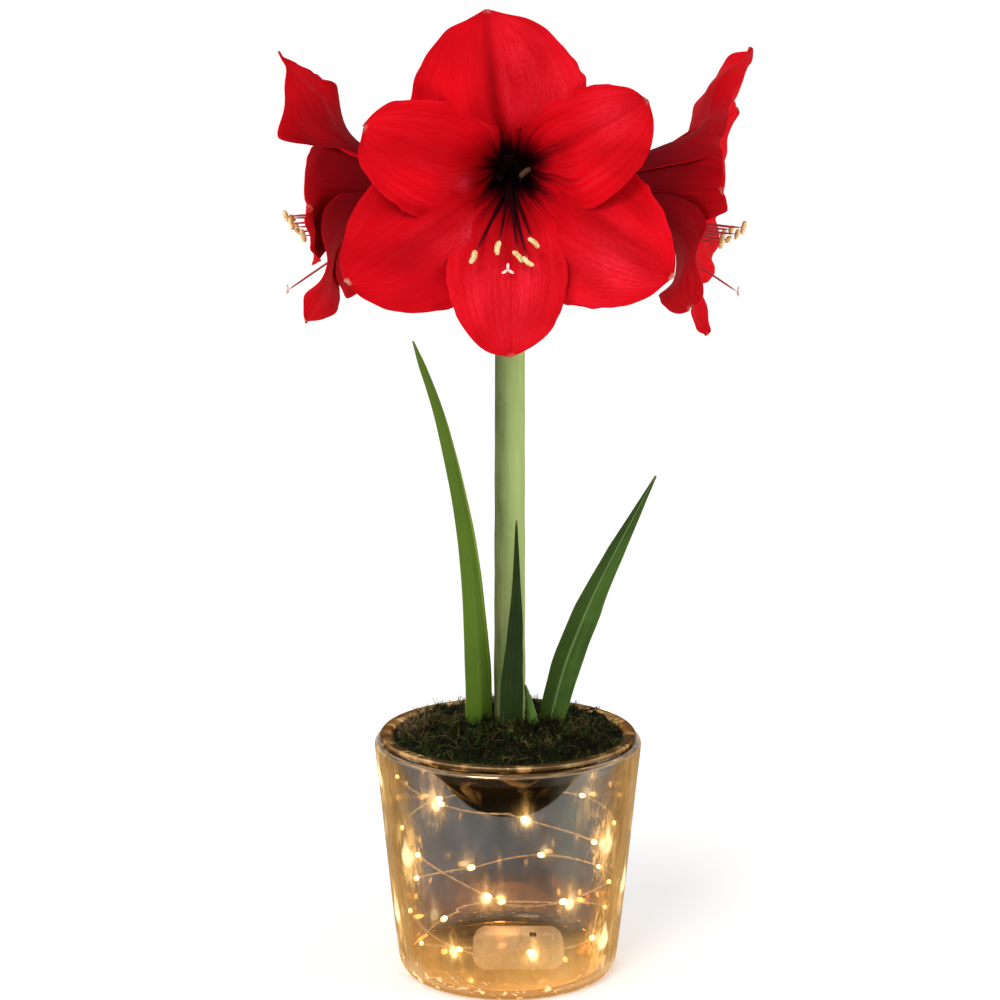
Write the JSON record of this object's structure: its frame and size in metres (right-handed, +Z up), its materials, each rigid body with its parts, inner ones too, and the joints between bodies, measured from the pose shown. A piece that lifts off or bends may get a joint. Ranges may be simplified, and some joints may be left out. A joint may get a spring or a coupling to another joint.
{
  "type": "amaryllis in a pot",
  "caption": "Red amaryllis in bloom on a thick green stem with strap leaves, planted in moss in a smoky glass pot with warm string lights inside.",
  "frame": {"origin": "on the pot's axis, on the flat underside of the glass pot", "axes": "+Z up along the pot's axis; the front bloom faces -Y; +X to the viewer's right"},
  "size_m": [0.2563, 0.2253, 0.5454],
  "materials": {
    "smoky_glass": "smoky half-mirrored glass, glossy",
    "dark_bronze": "glossy dark bronze",
    "dark_soil": "moist potting soil",
    "papery_bulb": "papery bulb skin",
    "moss": "matt moss",
    "leaf_green": "waxy leaf",
    "stem_green": "waxy pale green",
    "dry_bract": "dry papery bract",
    "petal_red": "velvety red petal",
    "copper_wire": "bare copper wire with small warm lamps",
    "frosted_plastic": "frosted plastic",
    "dark_plastic": "matt dark plastic"
  },
  "bodies": {
    "root": {"glass_shell": "smoky_glass", "inner_bowl": "dark_bronze", "soil": "dark_soil", "bulb": "papery_bulb", "moss": "moss", "leaf_left": "leaf_green", "leaf_middle": "leaf_green", "leaf_right": "leaf_green", "leaf_short": "leaf_green", "flower_stem": "stem_green", "spathe_left": "dry_bract", "spathe_right": "dry_bract", "bloom_front": "petal_red", "bloom_left": "petal_red", "bloom_right": "petal_red", "light_string": "copper_wire", "battery_box": "frosted_plastic", "box_switch": "dark_plastic"}
  },
  "joints": []
}
